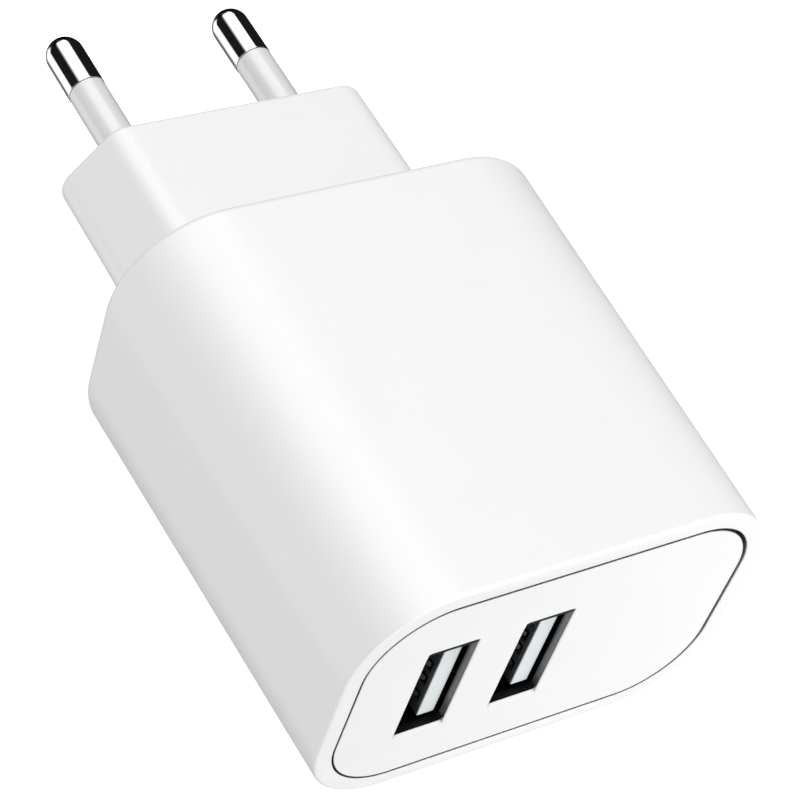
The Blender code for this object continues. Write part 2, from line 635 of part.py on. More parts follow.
def make_transformer():
    half_x, core_y, half_z = CORE_SIZE[0] / 2, CORE_SIZE[1], CORE_SIZE[2] / 2
    split = 0.0001
    for name, side in (("transformer_core_front", -1), ("transformer_core_rear", 1)):
        bm = bmesh.new()
        ends = sorted((side * split, side * core_y))
        add_box(bm, TRANSFORMER + Vector((-half_x, ends[0], -half_z)),
                TRANSFORMER + Vector((half_x, ends[1], half_z)))
        core = part_from(name, bm, FERRITE)
        windows = bmesh.new()
        ends = sorted((-side * split, side * (core_y - CORE_BACK)))
        for flank in (-1, 1):
            near, far = sorted((flank * CORE_CENTRE_LEG / 2, flank * (half_x - CORE_LEG)))
            add_box(windows, TRANSFORMER + Vector((near, ends[0], -half_z - GAP)),
                    TRANSFORMER + Vector((far, ends[1], half_z + GAP)))
        cut(core, windows)

    tube_x = CORE_CENTRE_LEG / 2 + GAP + BOBBIN_WALL
    tube_z = half_z + GAP + BOBBIN_WALL
    flange_x = half_x - CORE_LEG - GAP
    flange_y = core_y - CORE_BACK - GAP
    flange_z = BOBBIN_HALF_HEIGHT
    bm = bmesh.new()
    add_box(bm, TRANSFORMER + Vector((-tube_x, -flange_y, -tube_z)),
            TRANSFORMER + Vector((tube_x, flange_y, tube_z)))
    bobbin = part_from("transformer_bobbin", bm, BLACK_NYLON)
    flanges = bmesh.new()
    for side in (-1, 1):
        ends = sorted((side * (flange_y - BOBBIN_FLANGE), side * flange_y))
        add_box(flanges, TRANSFORMER + Vector((-flange_x, ends[0], -flange_z)),
                TRANSFORMER + Vector((flange_x, ends[1], flange_z)))
    join(bobbin, flanges)
    legs = bmesh.new()
    lead_rods("transformer_bobbin", legs, TRANSFORMER.z - flange_z + 0.001)
    join(bobbin, legs)
    bore = bmesh.new()
    add_box(bore, TRANSFORMER + Vector((BOBBIN_WALL - tube_x, -core_y, BOBBIN_WALL - tube_z)),
            TRANSFORMER + Vector((tube_x - BOBBIN_WALL, core_y, tube_z - BOBBIN_WALL)))
    cut(bobbin, bore)

    wound_y = flange_y - BOBBIN_FLANGE - GAP
    bm = bmesh.new()
    rounded_prism(bm, 2 * (flange_x - GAP), 2 * (flange_z - GAP), WINDING_RADIUS,
                  -wound_y, wound_y, 0, 4)
    bmesh.ops.translate(bm, verts=bm.verts[:], vec=TRANSFORMER)
    winding = part_from("transformer_winding", bm, YELLOW_TAPE)
    bore = bmesh.new()
    add_box(bore, TRANSFORMER + Vector((-tube_x - GAP, -core_y, -tube_z - GAP)),
            TRANSFORMER + Vector((tube_x + GAP, core_y, tube_z + GAP)))
    cut(winding, bore)


def make_disc(name, thickness, radius, material):
    """A dipped disc that stands across the board on two legs."""
    (x0, y), (x1, _) = LEADS[name]
    centre = Vector(((x0 + x1) / 2, y, SEAT_Z + GAP + radius))
    bm = bmesh.new()
    half = Vector((0, thickness / 2, 0))
    add_rod(bm, centre - half, centre + half, radius, 20)
    round_edges(bm, edges_at(bm, 1, y - thickness / 2) + edges_at(bm, 1, y + thickness / 2),
                thickness / 4, 2)
    disc = part_from(name, bm, material)
    legs = bmesh.new()
    lead_rods(name, legs, centre.z)
    join(disc, legs)


def make_resistor():
    (x0, y), (x1, _) = LEADS["fusible_resistor"]
    radius, half_length = 0.0016, 0.0038
    centre_z = SEAT_Z + GAP + radius
    middle = (x0 + x1) / 2
    bm = bmesh.new()
    add_rod(bm, (middle - half_length, y, centre_z), (middle + half_length, y, centre_z), radius, 16)
    resistor = part_from("fusible_resistor", bm, RESISTOR_GREEN)
    legs = bmesh.new()
    for x, inner in ((x0, middle - half_length + GAP), (x1, middle + half_length - GAP)):
        ends = sorted((x, inner))
        outer = LEAD_RADIUS if x > middle else -LEAD_RADIUS
        low, high = sorted((x - outer, x + outer))
        add_box(legs, (min(ends[0], low), y - LEAD_RADIUS, centre_z - LEAD_RADIUS),
                (max(ends[1], high), y + LEAD_RADIUS, centre_z + LEAD_RADIUS))
        add_box(legs, (low, y - LEAD_RADIUS, LEAD_TIP_Z), (high, y + LEAD_RADIUS, centre_z))
    join(resistor, legs)


def make_choke():
    """A ferrite bobbin standing on the board, with its copper winding as its own piece."""
    (x0, y), (x1, _) = LEADS["filter_choke"]
    middle = (x0 + x1) / 2
    height, disc_thickness = 0.007, 0.001
    core_radius, disc_radius, winding_radius = 0.0012, 0.0023, 0.002
    base, top = Vector((middle, y, SEAT_Z)), Vector((middle, y, SEAT_Z + height))
    disc_step = Vector((0, 0, disc_thickness))
    bm = bmesh.new()
    add_rod(bm, base, top, core_radius, 16)
    core = part_from("filter_choke", bm, FERRITE)
    for low in (base, top - disc_step):
        disc = bmesh.new()
        add_rod(disc, low, low + disc_step, disc_radius, 16)
        join(core, disc)
    legs = bmesh.new()
    lead_rods("filter_choke", legs, SEAT_Z + GAP)
    join(core, legs)
    clear = Vector((0, 0, disc_thickness + GAP))
    bm = bmesh.new()
    add_rod(bm, base + clear, top - clear, winding_radius, 16)
    winding = part_from("filter_choke_winding", bm, COPPER_WIRE)
    bore = bmesh.new()
    add_rod(bore, base, top, core_radius + GAP / 2, 16)
    cut(winding, bore)


def make_chip(name, low, high):
    chamfer = 0.0001
    bm = bmesh.new()
    add_box(bm, low, high)
    round_edges(bm, edges_at(bm, 2, high[2]) + edges_at(bm, 2, low[2]), chamfer, 1)
    part_from(name, bm, CHIP_BLACK)


def make_charger():
    make_housing()
    make_plug_body()
    make_front_panel()
    make_pin_retainer()
    for name, side, material in (("live", -1, BROWN_WIRE), ("neutral", 1, BLUE_WIRE)):
        spigot_end = make_pin(f"{name}_pin", side)
        make_wire(f"{name}_wire", side, spigot_end, material)
    for number, x in enumerate(PORT_X, start=1):
        make_usb_shell(number, x)
        make_usb_insulator(number, x)
        for name, z in CONTACT_Z.items():
            make_usb_contact(number, x, name, z)
    make_usb_board()
    make_main_board()
    make_board_header()
    can_z = SEAT_Z + CAN_RADIUS
    for name in ("input_capacitor_1", "input_capacitor_2"):
        (x0, y), (x1, _) = LEADS[name]
        centre = Vector(((x0 + x1) / 2, y + LEG_BEND, can_z))
        make_can(name, centre, INPUT_CAN_LENGTH, CAN_RADIUS, can_legs(name, centre))
    make_transformer()
    make_disc("surge_varistor", thickness=0.0028, radius=0.0034, material=RESISTOR_GREEN)
    make_disc("suppression_capacitor", thickness=0.0016, radius=0.0035, material=BLUE_DISC)
    make_resistor()
    make_choke()
    make_chip("bridge_rectifier", (-0.0028, -0.0304, SEAT_Z), (0.0018, -0.0266, SEAT_Z + 0.0016))
    high_z = MAIN_BOARD_LOW[2] - GAP
    low_z = high_z - SMALL_CHIP_THICKNESS
    make_chip("controller_ic", (-0.0065, -0.04, low_z), (-0.0015, -0.036, high_z))
    make_chip("output_rectifier", (0.0055, -0.0405, low_z), (0.0101, -0.0365, high_z))
    board_front = USB_BOARD_Y - GAP
    make_chip("charge_control_ic", (0.0123, board_front - SMALL_CHIP_THICKNESS, -0.002),
              (0.0163, board_front, 0.003))
    for number, z in enumerate(OUTPUT_CAN_Z, start=1):
        legs = bmesh.new()
        for x in (OUTPUT_CAN_X - OUTPUT_LEG_OFFSET, OUTPUT_CAN_X + OUTPUT_LEG_OFFSET):
            add_rod(legs, (x, board_front - 0.001, z), (x, board_front, z), LEAD_RADIUS, 8)
        centre = Vector((OUTPUT_CAN_X, board_front - GAP - OUTPUT_CAN_LENGTH, z))
        make_can(f"output_capacitor_{number}", centre, OUTPUT_CAN_LENGTH, CAN_RADIUS, legs)


make_charger()
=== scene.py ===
"""USB wall charger, lying on a pale floor, with a flat two-pin plug and two upright USB-A ports.

Axes and places are the frame's: +X across the pins, +Y out of the plug face, +Z up, in metres.
"""

import json
from math import cos, pi, radians, sin

import bmesh
import bpy
import numpy as np
from mathutils import Matrix, Vector


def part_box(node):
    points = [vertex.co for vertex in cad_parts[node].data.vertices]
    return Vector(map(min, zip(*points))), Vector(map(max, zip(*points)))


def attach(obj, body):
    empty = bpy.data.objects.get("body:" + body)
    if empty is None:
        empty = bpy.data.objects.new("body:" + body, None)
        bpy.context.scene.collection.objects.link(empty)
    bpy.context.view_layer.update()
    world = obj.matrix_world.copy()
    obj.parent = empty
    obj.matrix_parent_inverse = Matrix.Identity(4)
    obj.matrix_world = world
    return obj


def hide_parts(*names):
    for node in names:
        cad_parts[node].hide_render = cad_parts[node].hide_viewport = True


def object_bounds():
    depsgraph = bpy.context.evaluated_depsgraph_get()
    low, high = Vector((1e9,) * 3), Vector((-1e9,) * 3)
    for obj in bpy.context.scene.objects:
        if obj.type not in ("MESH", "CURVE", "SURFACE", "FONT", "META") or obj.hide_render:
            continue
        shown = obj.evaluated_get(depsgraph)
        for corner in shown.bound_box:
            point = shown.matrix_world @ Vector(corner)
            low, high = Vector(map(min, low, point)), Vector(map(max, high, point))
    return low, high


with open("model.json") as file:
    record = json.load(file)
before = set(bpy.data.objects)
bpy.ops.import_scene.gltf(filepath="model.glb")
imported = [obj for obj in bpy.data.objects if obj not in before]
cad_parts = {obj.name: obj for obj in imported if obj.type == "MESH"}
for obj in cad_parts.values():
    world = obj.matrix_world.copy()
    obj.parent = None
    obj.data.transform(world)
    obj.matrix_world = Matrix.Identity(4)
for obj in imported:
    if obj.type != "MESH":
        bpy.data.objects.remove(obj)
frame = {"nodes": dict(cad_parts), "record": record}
CAD_LOW, CAD_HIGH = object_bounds()

# Places read from the frame
HOUSING_LOW, HOUSING_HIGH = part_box("main_housing")
PANEL_LOW, PANEL_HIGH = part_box("front_panel")
PLUG_LOW, PLUG_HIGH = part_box("plug_body")
FRONT_Y, REAR_Y = HOUSING_LOW.y, HOUSING_HIGH.y
PLUG_FACE_Y = PLUG_HIGH.y

# Fits between pieces, and the small rounds on their edges
TOUCH = 0.0003                  # gap that neighbours inside keep
EDGE = 0.00012                  # round on a moulded edge
CUT_OVERRUN = 0.001             # how far a cutter runs past what it cuts

# Enclosure
POLAR_POINTS = 384
DRAFT = 0.0011
FRONT_HALF_WIDTH = HOUSING_HIGH.x - DRAFT
FRONT_HALF_HEIGHT = HOUSING_HIGH.z - DRAFT
HOUSING_RADIUS = 0.0094
RIM_WIDTH = 0.0018
RIM_ROUND = 0.00034
REAR_ROUND = 0.0009
REAR_WALL = 0.0024
MOUTH_DEPTH = 0.002
LEDGE = 0.0006
SEAM = 0.00026                  # gap round the front panel
SEAM_SHIFT = 0.00013            # the panel sits this far to the left in the mouth
PANEL_THICKNESS = 0.0017
PANEL_LIP = 0.00026             # above and below a port, where the panel laps over its shell
PORT_LIP = 0.0002               # chamfer under a port
PORT_EDGE = 0.00008             # beside a port, where the shell comes right up to the face
SKIRT_WALL = 0.0012
RAIL_HEIGHT = 0.0009
RAIL_Y = (-0.044, -0.032)
RAIL_X = (0.0161, 0.0193)
PLUG_HALF_WIDTH = 0.01765
PLUG_HALF_HEIGHT = 0.00685
PLUG_HALF_FLAT = 0.0125
PLUG_CORNER = 0.0026
PLUG_FIT = 0.00005              # gap between plug body and housing
PLUG_FACE_ROUND = 0.0007
PLUG_WALL = 0.002
PLUG_END_WALL = 0.0024
FLANGE_RADIUS = 0.003

# Pins
PIN_RADIUS = 0.002
PIN_NECK = 0.0015
PIN_HEAD = 0.0026
PIN_HEAD_THICKNESS = 0.0012
PIN_HEAD_CHAMFER = 0.0002
PIN_TAIL = 0.0011
PIN_EDGE = 0.00008              # round where the bare metal ends, and its gap to the sleeve
SLEEVE_RADIUS = 0.00195
SLEEVE_GAP = 0.00005            # between the sleeve and the neck inside it
COLLAR_RADIUS = 0.00215
COLLAR_HEIGHT = 0.00025
COLLAR_TAPER = 0.0003
FACE_GAP = 0.00002              # between a sleeve's ends and the plug's face or the metal
HOLE_GAP = 0.00004              # round a sleeve in the plug body
TURN_STEPS = 96

# USB ports
WINDOW_CORNER = 0.00018
WINDOW_FLARE = 0.00008
SHELL_SHEET = 0.0003
SHELL_LENGTH = 0.0136
SHELL_CORNER = 0.00022
SHELL_CLEARANCE = 0.00006       # round the shell in the panel's pocket
SHELL_LEAD = 0.0001             # chamfer inside the shell's mouth
TAB_HALF_WIDTH = 0.00075
TAB_ROOT = 0.001                # how far a solder tab runs into the shell's sheet
FINGER_Z = 0.0031
FINGER_HALF_WIDTH = 0.0008
FINGER_SLIT = 0.00025
FINGER_PRESS = 0.00022
FINGER_FRONT = 0.0042           # from the shell's mouth to a finger's free end and to its root
FINGER_ROOT = 0.0088
ROLLED_EDGE = 0.0006
FOLD_Z = 0.00595                # where the shell's broad sides start to fold over; past it the sheet is painted dark as shade
BRIGHT_EDGE = 0.0009            # the shell's sheet is bright this far in from the face, and painted near black as shade deeper in
TONGUE_THICKNESS = 0.00184
TONGUE_HEIGHT = 0.0111
TONGUE_INSET = 0.0007           # from the shell's wall to the tongue's back
TONGUE_EDGE = 0.00014
BASE_DEPTH = 0.0047
BASE_EDGE = 0.0002
GROOVE_START = 0.00055
GROOVE_OVERRUN = 0.0003         # how far a groove's cutter stands off the tongue's face
GROOVE_DEPTH = 0.0009
GROOVE_WIDTH = 0.0014
CONTACT_SHEET = 0.0002
CONTACT_WIDTH = 0.001
CONTACT_INSET = 0.00002         # the beam stays this far inside its width

# Camera: a long lens close above the front left corner, rolled to stand the charger on a diagonal
CAMERA_PLACE = Vector((-0.11782, -0.155026, 0.177912))
CAMERA_RIGHT = Vector((0.84535, -0.47367, 0.24702))
CAMERA_UP = Vector((0.22107, 0.73113, 0.64543))
CAMERA_LENS = 118.654
CAMERA_SENSOR = 36.0


# Outlines: signed distances in the XZ plane, so that an outline is moved out evenly by adding to it

def rounded_box_distance(x, z, half_width, half_height, radius):
    qx = np.abs(x) - (half_width - radius)
    qz = np.abs(z) - (half_height - radius)
    outside = np.hypot(np.maximum(qx, 0), np.maximum(qz, 0))
    return outside + np.minimum(np.maximum(qx, qz), 0) - radius


def hexagon_distance(x, z):
    """Distance to the plug body's long hexagon with rounded corners."""
    slant_x, slant_z = PLUG_HALF_WIDTH - PLUG_HALF_FLAT, PLUG_HALF_HEIGHT
    slant = np.hypot(slant_x, slant_z)
    # The side corner is rounded, so the sharp hexagon reaches past the half width.
    sharp = PLUG_CORNER * (slant / slant_z - 1)
    inner_x = PLUG_HALF_WIDTH + sharp - PLUG_CORNER * slant / slant_z
    inner_z = PLUG_HALF_HEIGHT - PLUG_CORNER
    inner_flat = inner_x - slant_x * inner_z / slant_z
    corners = [(inner_x, 0), (inner_flat, inner_z), (-inner_flat, inner_z)]
    ax, az = np.abs(x), np.abs(z)
    best = np.full_like(x, np.inf)
    inside = np.ones(x.shape, bool)
    for (x0, z0), (x1, z1) in zip(corners, corners[1:]):
        run_x, run_z = x1 - x0, z1 - z0
        t = np.clip(((ax - x0) * run_x + (az - z0) * run_z) / (run_x ** 2 + run_z ** 2), 0, 1)
        best = np.minimum(best, np.hypot(ax - x0 - run_x * t, az - z0 - run_z * t))
        inside &= run_x * (az - z0) - run_z * (ax - x0) > 0
    return np.where(inside, -best, best) - PLUG_CORNER


def outline(distance, offset, count=POLAR_POINTS):
    """Points where rays from the centre meet the outline moved out by offset, as (x, z) rows."""
    angles = np.arange(count) * 2 * pi / count
    ray_x, ray_z = np.cos(angles), np.sin(angles)
    near, far = np.zeros(count), np.full(count, 0.06)
    for _ in range(40):
        middle = (near + far) / 2
        outside = distance(ray_x * middle, ray_z * middle) > offset
        far = np.where(outside, middle, far)
        near = np.where(outside, near, middle)
    return np.stack([ray_x * near, ray_z * near], axis=1)


def housing_shape(x, z):
    return rounded_box_distance(x, z, FRONT_HALF_WIDTH, FRONT_HALF_HEIGHT, HOUSING_RADIUS)


# Mesh helpers

def add_object(name, mesh):
    piece = bpy.data.objects.new(name, mesh)
    bpy.context.scene.collection.objects.link(piece)
    return piece


def loft(name, rings, cap_ends=True, centre=(0, 0)):
    """Skins rings given as (outline, y). Without end caps the last ring joins the first."""
    bm = bmesh.new()
    rows = [[bm.verts.new((x + centre[0], y, z + centre[1])) for x, z in ring] for ring, y in rings]
    pairs = list(zip(rows, rows[1:]))
    if cap_ends:
        bm.faces.new(rows[0])
        bm.faces.new(rows[-1])
    else:
        pairs.append((rows[-1], rows[0]))
    for start, end in pairs:
        for i in range(len(start)):
            j = (i + 1) % len(start)
            bm.faces.new((start[i], start[j], end[j], end[i]))
    bmesh.ops.recalc_face_normals(bm, faces=bm.faces[:])
    mesh = bpy.data.meshes.new(name)
    bm.to_mesh(mesh)
    bm.free()
    return add_object(name, mesh)


def fillet(distance, offset, y, radius, out_sign, y_sign, steps=6, first=True):
    """Rings round an edge: from a face at y, turning through 90 degrees.

    The offset goes out by out_sign * radius while y goes by y_sign * radius; first says that the
    face across Y comes first.
    """
    rings = []
    for step in range(steps + 1):
        turn = step / steps * pi / 2
        across, along = (sin(turn), 1 - cos(turn)) if first else (1 - cos(turn), sin(turn))
        rings.append((outline(distance, offset + out_sign * radius * across),
                      y + y_sign * radius * along))
    return rings


def evaluated_mesh(piece):
    graph = bpy.context.evaluated_depsgraph_get()
    return bpy.data.meshes.new_from_object(piece.evaluated_get(graph))


def boolean(piece, tool, operation="DIFFERENCE"):
    """Applies a Boolean and removes the tool."""
    modifier = piece.modifiers.new("boolean", "BOOLEAN")
    modifier.operation = operation
    modifier.object = tool
    mesh = evaluated_mesh(piece)
    piece.modifiers.clear()
    piece.data = mesh
    bpy.data.objects.remove(tool, do_unlink=True)


def join(piece, other):
    """Adds the other piece's mesh to this one's."""
    bm = bmesh.new()
    bm.from_mesh(piece.data)
    bm.from_mesh(other.data)
    bm.to_mesh(piece.data)
    bm.free()
    bpy.data.objects.remove(other, do_unlink=True)


def shade(piece, angle=30):
    """Smooth shading with sharp edges kept, and flats kept flat up to their fillets."""
    piece.data.shade_smooth()
    piece.data.set_sharp_from_angle(angle=radians(angle))
    normals = piece.modifiers.new("flat_faces", "WEIGHTED_NORMAL")
    normals.keep_sharp = True
    return piece


def box_tool(name, low, high, bevel=0.0, segments=3):
    low, high = Vector(low), Vector(high)
    bm = bmesh.new()
    matrix = Matrix.Translation((low + high) / 2) @ Matrix.Diagonal((*(high - low), 1))
    bmesh.ops.create_cube(bm, size=1, matrix=matrix)
    if bevel:
        bmesh.ops.bevel(bm, geom=bm.edges[:], offset=bevel, segments=segments, profile=0.5,
                        affect="EDGES")
    mesh = bpy.data.meshes.new(name)
    bm.to_mesh(mesh)
    bm.free()
    return add_object(name, mesh)


def lathe(name, profile, centre, closed, steps=TURN_STEPS):
    """Turns (radius, y) points about a line along Y."""
    bm = bmesh.new()
    rows = []
    for radius, y in profile:
        if radius == 0:
            rows.append([bm.verts.new((centre[0], y, centre[1]))])
            continue
        rows.append([bm.verts.new((centre[0] + radius * cos(2 * pi * i / steps), y,
                                   centre[1] + radius * sin(2 * pi * i / steps)))
                     for i in range(steps)])
    pairs = list(zip(rows, rows[1:]))
    if closed:
        pairs.append((rows[-1], rows[0]))
    for start, end in pairs:
        for i in range(steps):
            j = (i + 1) % steps
            corners = [start[i % len(start)], start[j % len(start)], end[j % len(end)],
                       end[i % len(end)]]
            bm.faces.new(list(dict.fromkeys(corners)))
    bmesh.ops.recalc_face_normals(bm, faces=bm.faces[:])
    mesh = bpy.data.meshes.new(name)
    bm.to_mesh(mesh)
    bm.free()
    return add_object(name, mesh)


def arc(centre_radius, centre_y, size, start, end, steps):
    """Profile points round a quarter turn; angles in degrees from the outward radius."""
    return [(centre_radius + size * cos(radians(start + (end - start) * i / steps)),
             centre_y + size * sin(radians(start + (end - start) * i / steps)))
            for i in range(steps + 1)]


# Materials

class Nodes:
    """A material's node tree with short calls to add to it."""

    def __init__(self, name):
        self.material = bpy.data.materials.new(name)
        self.material.use_nodes = True
        self.tree = self.material.node_tree
        self.shader = self.tree.nodes["Principled BSDF"]
        self.place = self.add("ShaderNodeTexCoord").outputs["Object"]

    def add(self, kind, **settings):
        node = self.tree.nodes.new(kind)
        for key, value in settings.items():
            setattr(node, key, value)
        return node

    def link(self, output, socket):
        self.tree.links.new(output, socket)

    def noise(self, size, detail=3.0, roughness=0.5, stretch=(1, 1, 1)):
        """Noise with features of about this size, in metres."""
        mapping = self.add("ShaderNodeMapping")
        mapping.inputs["Scale"].default_value = stretch
        self.link(self.place, mapping.inputs["Vector"])
        noise = self.add("ShaderNodeTexNoise")
        noise.inputs["Scale"].default_value = 1 / size
        noise.inputs["Detail"].default_value = detail
        noise.inputs["Roughness"].default_value = roughness
        self.link(mapping.outputs["Vector"], noise.inputs["Vector"])
        return noise.outputs["Fac"]

    def spread(self, factor, low, high):
        """Maps a 0 to 1 value to a range of numbers."""
        spread = self.add("ShaderNodeMapRange")
        spread.inputs["From Min"].default_value = 0.3
        spread.inputs["From Max"].default_value = 0.7
        spread.inputs["To Min"].default_value = low
        spread.inputs["To Max"].default_value = high
        self.link(factor, spread.inputs["Value"])
        return spread.outputs["Result"]

    def blend(self, factor, first, second):
        mix = self.add("ShaderNodeMix", data_type="RGBA")
        self.link(factor, mix.inputs["Factor"])
        for socket, colour in ((mix.inputs["A"], first), (mix.inputs["B"], second)):
            if hasattr(colour, "links"):
                self.link(colour, socket)
            else:
                socket.default_value = (*colour, 1)
        return mix.outputs["Result"]

    def crevice(self, reach, closed, open_):
        """1 in the open and 0 in gaps and hollows narrower than about this reach; the materials use it
        to paint shade there.

        closed and open_ are the shares of open sky that count as 0 and as 1.
        """
        occlusion = self.add("ShaderNodeAmbientOcclusion", samples=6)
        occlusion.inputs["Distance"].default_value = reach
        spread = self.add("ShaderNodeMapRange")
        spread.inputs["From Min"].default_value = closed
        spread.inputs["From Max"].default_value = open_
        self.link(occlusion.outputs["AO"], spread.inputs["Value"])
        return spread.outputs["Result"]

    def bump(self, height, depth, normal=None):
        """Bump of this depth, in metres."""
        bump = self.add("ShaderNodeBump")
        bump.inputs["Strength"].default_value = 1.0
        bump.inputs["Distance"].default_value = depth
        self.link(height, bump.inputs["Height"])
        if normal is not None:
            self.link(normal, bump.inputs["Normal"])
        return bump.outputs["Normal"]

    def finish(self, colour=None, roughness=None, normal=None, **fixed):
        inputs = self.shader.inputs
        for socket, value in (("Base Color", colour), ("Roughness", roughness), ("Normal", normal)):
            if value is not None:
                self.link(value, inputs[socket])
        for key, value in fixed.items():
            inputs[key.replace("_", " ").title().replace("Ior", "IOR")].default_value = value
        return self.material


def moulded_plastic(name, colour, roughness, grain=0.00012, depth=0.0000012, drift=0.02, specular=0.5,
                    reach=0.0005, closed=0.62, open_=0.92, coat=0.0):
    """Satin moulded plastic: a fine spark-eroded grain, slow colour drift, uneven gloss and painted
    shade in gaps and hollows.
    """
    nodes = Nodes(name)
    fine = nodes.noise(grain, 2.0, 0.6)
    slow = nodes.noise(0.012, 3.0)
    darker = tuple(part * (1 - drift) for part in colour)
    tint = nodes.blend(nodes.spread(slow, 0, 1), darker, colour)
    crevice_shade = tuple(part * 0.05 for part in colour)
    # Painted shade: colour in gaps and hollows is blended towards near black.
    tint = nodes.blend(nodes.crevice(reach, closed, open_), crevice_shade, tint)
    gloss = nodes.spread(nodes.noise(0.004, 4.0), roughness - 0.03, roughness + 0.03)
    return nodes.finish(tint, gloss, nodes.bump(fine, depth), specular_ior_level=specular,
                        coat_weight=coat, coat_roughness=0.25, coat_ior=1.9)


def plated_metal(name, colour, roughness, stretch=(1, 1, 1), grain=0.0001, depth=0.0000006,
                 stain=(0.5, 0.5, 0.5), stained=0.12, reach=0.0005, closed=0.0, open_=0.5):
    """Plated or rolled metal: drawn lines along the stretch, small stains and wear, and painted shade
    in gaps and hollows.
    """
    nodes = Nodes(name)
    lines = nodes.noise(grain, 3.0, 0.65, stretch)
    stains = nodes.spread(nodes.noise(0.0012, 4.0, 0.6), 0, stained)
    tint = nodes.blend(stains, colour, stain)
    crevice_shade = tuple(part * 0.03 for part in colour)
    # Painted shade: colour in gaps and hollows is blended towards near black.
    tint = nodes.blend(nodes.crevice(reach, closed, open_), crevice_shade, tint)
    gloss = nodes.spread(nodes.noise(0.0008, 3.0), roughness * 0.7, roughness * 1.3)
    return nodes.finish(tint, gloss, nodes.bump(lines, depth), metallic=1.0)


def folded_steel(name):
    """Sheet steel with drawn lines along Y; painted shade darkens it at the mouth, deep inside, and on
    the narrow walls past where it folds over.
    """
    nodes = Nodes(name)
    lines = nodes.noise(0.00012, 3.0, 0.7, (1, 0.08, 1))
    tint = nodes.blend(nodes.spread(lines, 0, 1), (0.45, 0.45, 0.455), (0.75, 0.75, 0.76))
    split = nodes.add("ShaderNodeSeparateXYZ")
    nodes.link(nodes.place, split.inputs["Vector"])
    # Painted shade: the sheet is darkened towards the face, where more light reaches it, so that it
    # looks evenly lit.
    mouth_shade = nodes.add("ShaderNodeMapRange")
    mouth_shade.inputs["From Min"].default_value = FRONT_Y + BRIGHT_EDGE * 0.8
    mouth_shade.inputs["From Max"].default_value = FRONT_Y
    nodes.link(split.outputs["Y"], mouth_shade.inputs["Value"])
    tint = nodes.blend(mouth_shade.outputs["Result"], tint, (0.17, 0.17, 0.172))
    # Painted shade: past FOLD_Z the narrow walls are painted nearly black.
    height = nodes.add("ShaderNodeMath", operation="ABSOLUTE")
    nodes.link(split.outputs["Z"], height.inputs[0])
    narrow_wall_shade = nodes.add("ShaderNodeMapRange")
    narrow_wall_shade.inputs["From Min"].default_value = FOLD_Z
    narrow_wall_shade.inputs["From Max"].default_value = FOLD_Z + 0.00015
    nodes.link(height.outputs[0], narrow_wall_shade.inputs["Value"])
    tint = nodes.blend(narrow_wall_shade.outputs["Result"], tint, (0.03, 0.03, 0.032))
    # Painted shade: deeper than BRIGHT_EDGE from the face, the sheet is painted near black.
    inside = nodes.add("ShaderNodeMapRange")
    inside.inputs["From Min"].default_value = FRONT_Y + BRIGHT_EDGE
    inside.inputs["From Max"].default_value = FRONT_Y + BRIGHT_EDGE + 0.0001
    nodes.link(split.outputs["Y"], inside.inputs["Value"])
    tint = nodes.blend(inside.outputs["Result"], tint, (0.012, 0.012, 0.013))
    gloss = nodes.spread(nodes.noise(0.0008, 3.0), 0.45, 0.6)
    return nodes.finish(tint, gloss, nodes.bump(lines, 0.000003), metallic=1.0)


def circuit_board(name):
    """Glass-epoxy laminate under green mask, with the weave and the buried tracks just showing."""
    nodes = Nodes(name)
    weave = nodes.add("ShaderNodeTexChecker")
    weave.inputs["Scale"].default_value = 2200
    nodes.link(nodes.place, weave.inputs["Vector"])
    tracks = nodes.add("ShaderNodeTexBrick", offset=0.5, squash=1.0)
    tracks.inputs["Scale"].default_value = 260
    tracks.inputs["Mortar Size"].default_value = 0.03
    nodes.link(nodes.place, tracks.inputs["Vector"])
    base = nodes.blend(nodes.spread(nodes.noise(0.003), 0, 1), (0.012, 0.1, 0.035), (0.02, 0.15, 0.05))
    tint = nodes.blend(tracks.outputs["Fac"], base, (0.05, 0.28, 0.1))
    normal = nodes.bump(weave.outputs["Fac"], 0.000002)
    normal = nodes.bump(tracks.outputs["Fac"], 0.00003, normal)
    gloss = nodes.spread(nodes.noise(0.002), 0.25, 0.4)
    return nodes.finish(tint, gloss, normal)


def wound_wire(name, colour, pitch, axis, metallic):
    """Turns of wire or overlapped tape: ridges across one axis, with painted shade darkening the
    valleys between them.
    """
    nodes = Nodes(name)
    ridges = nodes.add("ShaderNodeTexWave", wave_type="BANDS", bands_direction=axis, wave_profile="SIN")
    bands_per_unit = 3.18          # of the wave texture at a scale of 1
    ridges.inputs["Scale"].default_value = 1 / pitch / bands_per_unit
    ridges.inputs["Distortion"].default_value = 0.4
    ridges.inputs["Detail"].default_value = 1.0
    nodes.link(nodes.place, ridges.inputs["Vector"])
    # Painted shade: the valleys between ridges are painted darker.
    darker = tuple(part * 0.6 for part in colour)
    tint = nodes.blend(ridges.outputs["Fac"], darker, colour)
    gloss = nodes.spread(nodes.noise(0.002), 0.25, 0.45)
    return nodes.finish(tint, gloss, nodes.bump(ridges.outputs["Fac"], pitch * 0.15), metallic=metallic)


def sintered(name, colour):
    """Ferrite or filled epoxy: dark, matt and faintly speckled."""
    nodes = Nodes(name)
    speckle = nodes.noise(0.00015, 4.0, 0.7)
    lighter = tuple(min(1, part * 2.2 + 0.01) for part in colour)
    tint = nodes.blend(nodes.spread(speckle, 0, 1), colour, lighter)
    gloss = nodes.spread(nodes.noise(0.001), 0.5, 0.75)
    return nodes.finish(tint, gloss, nodes.bump(speckle, 0.000006))
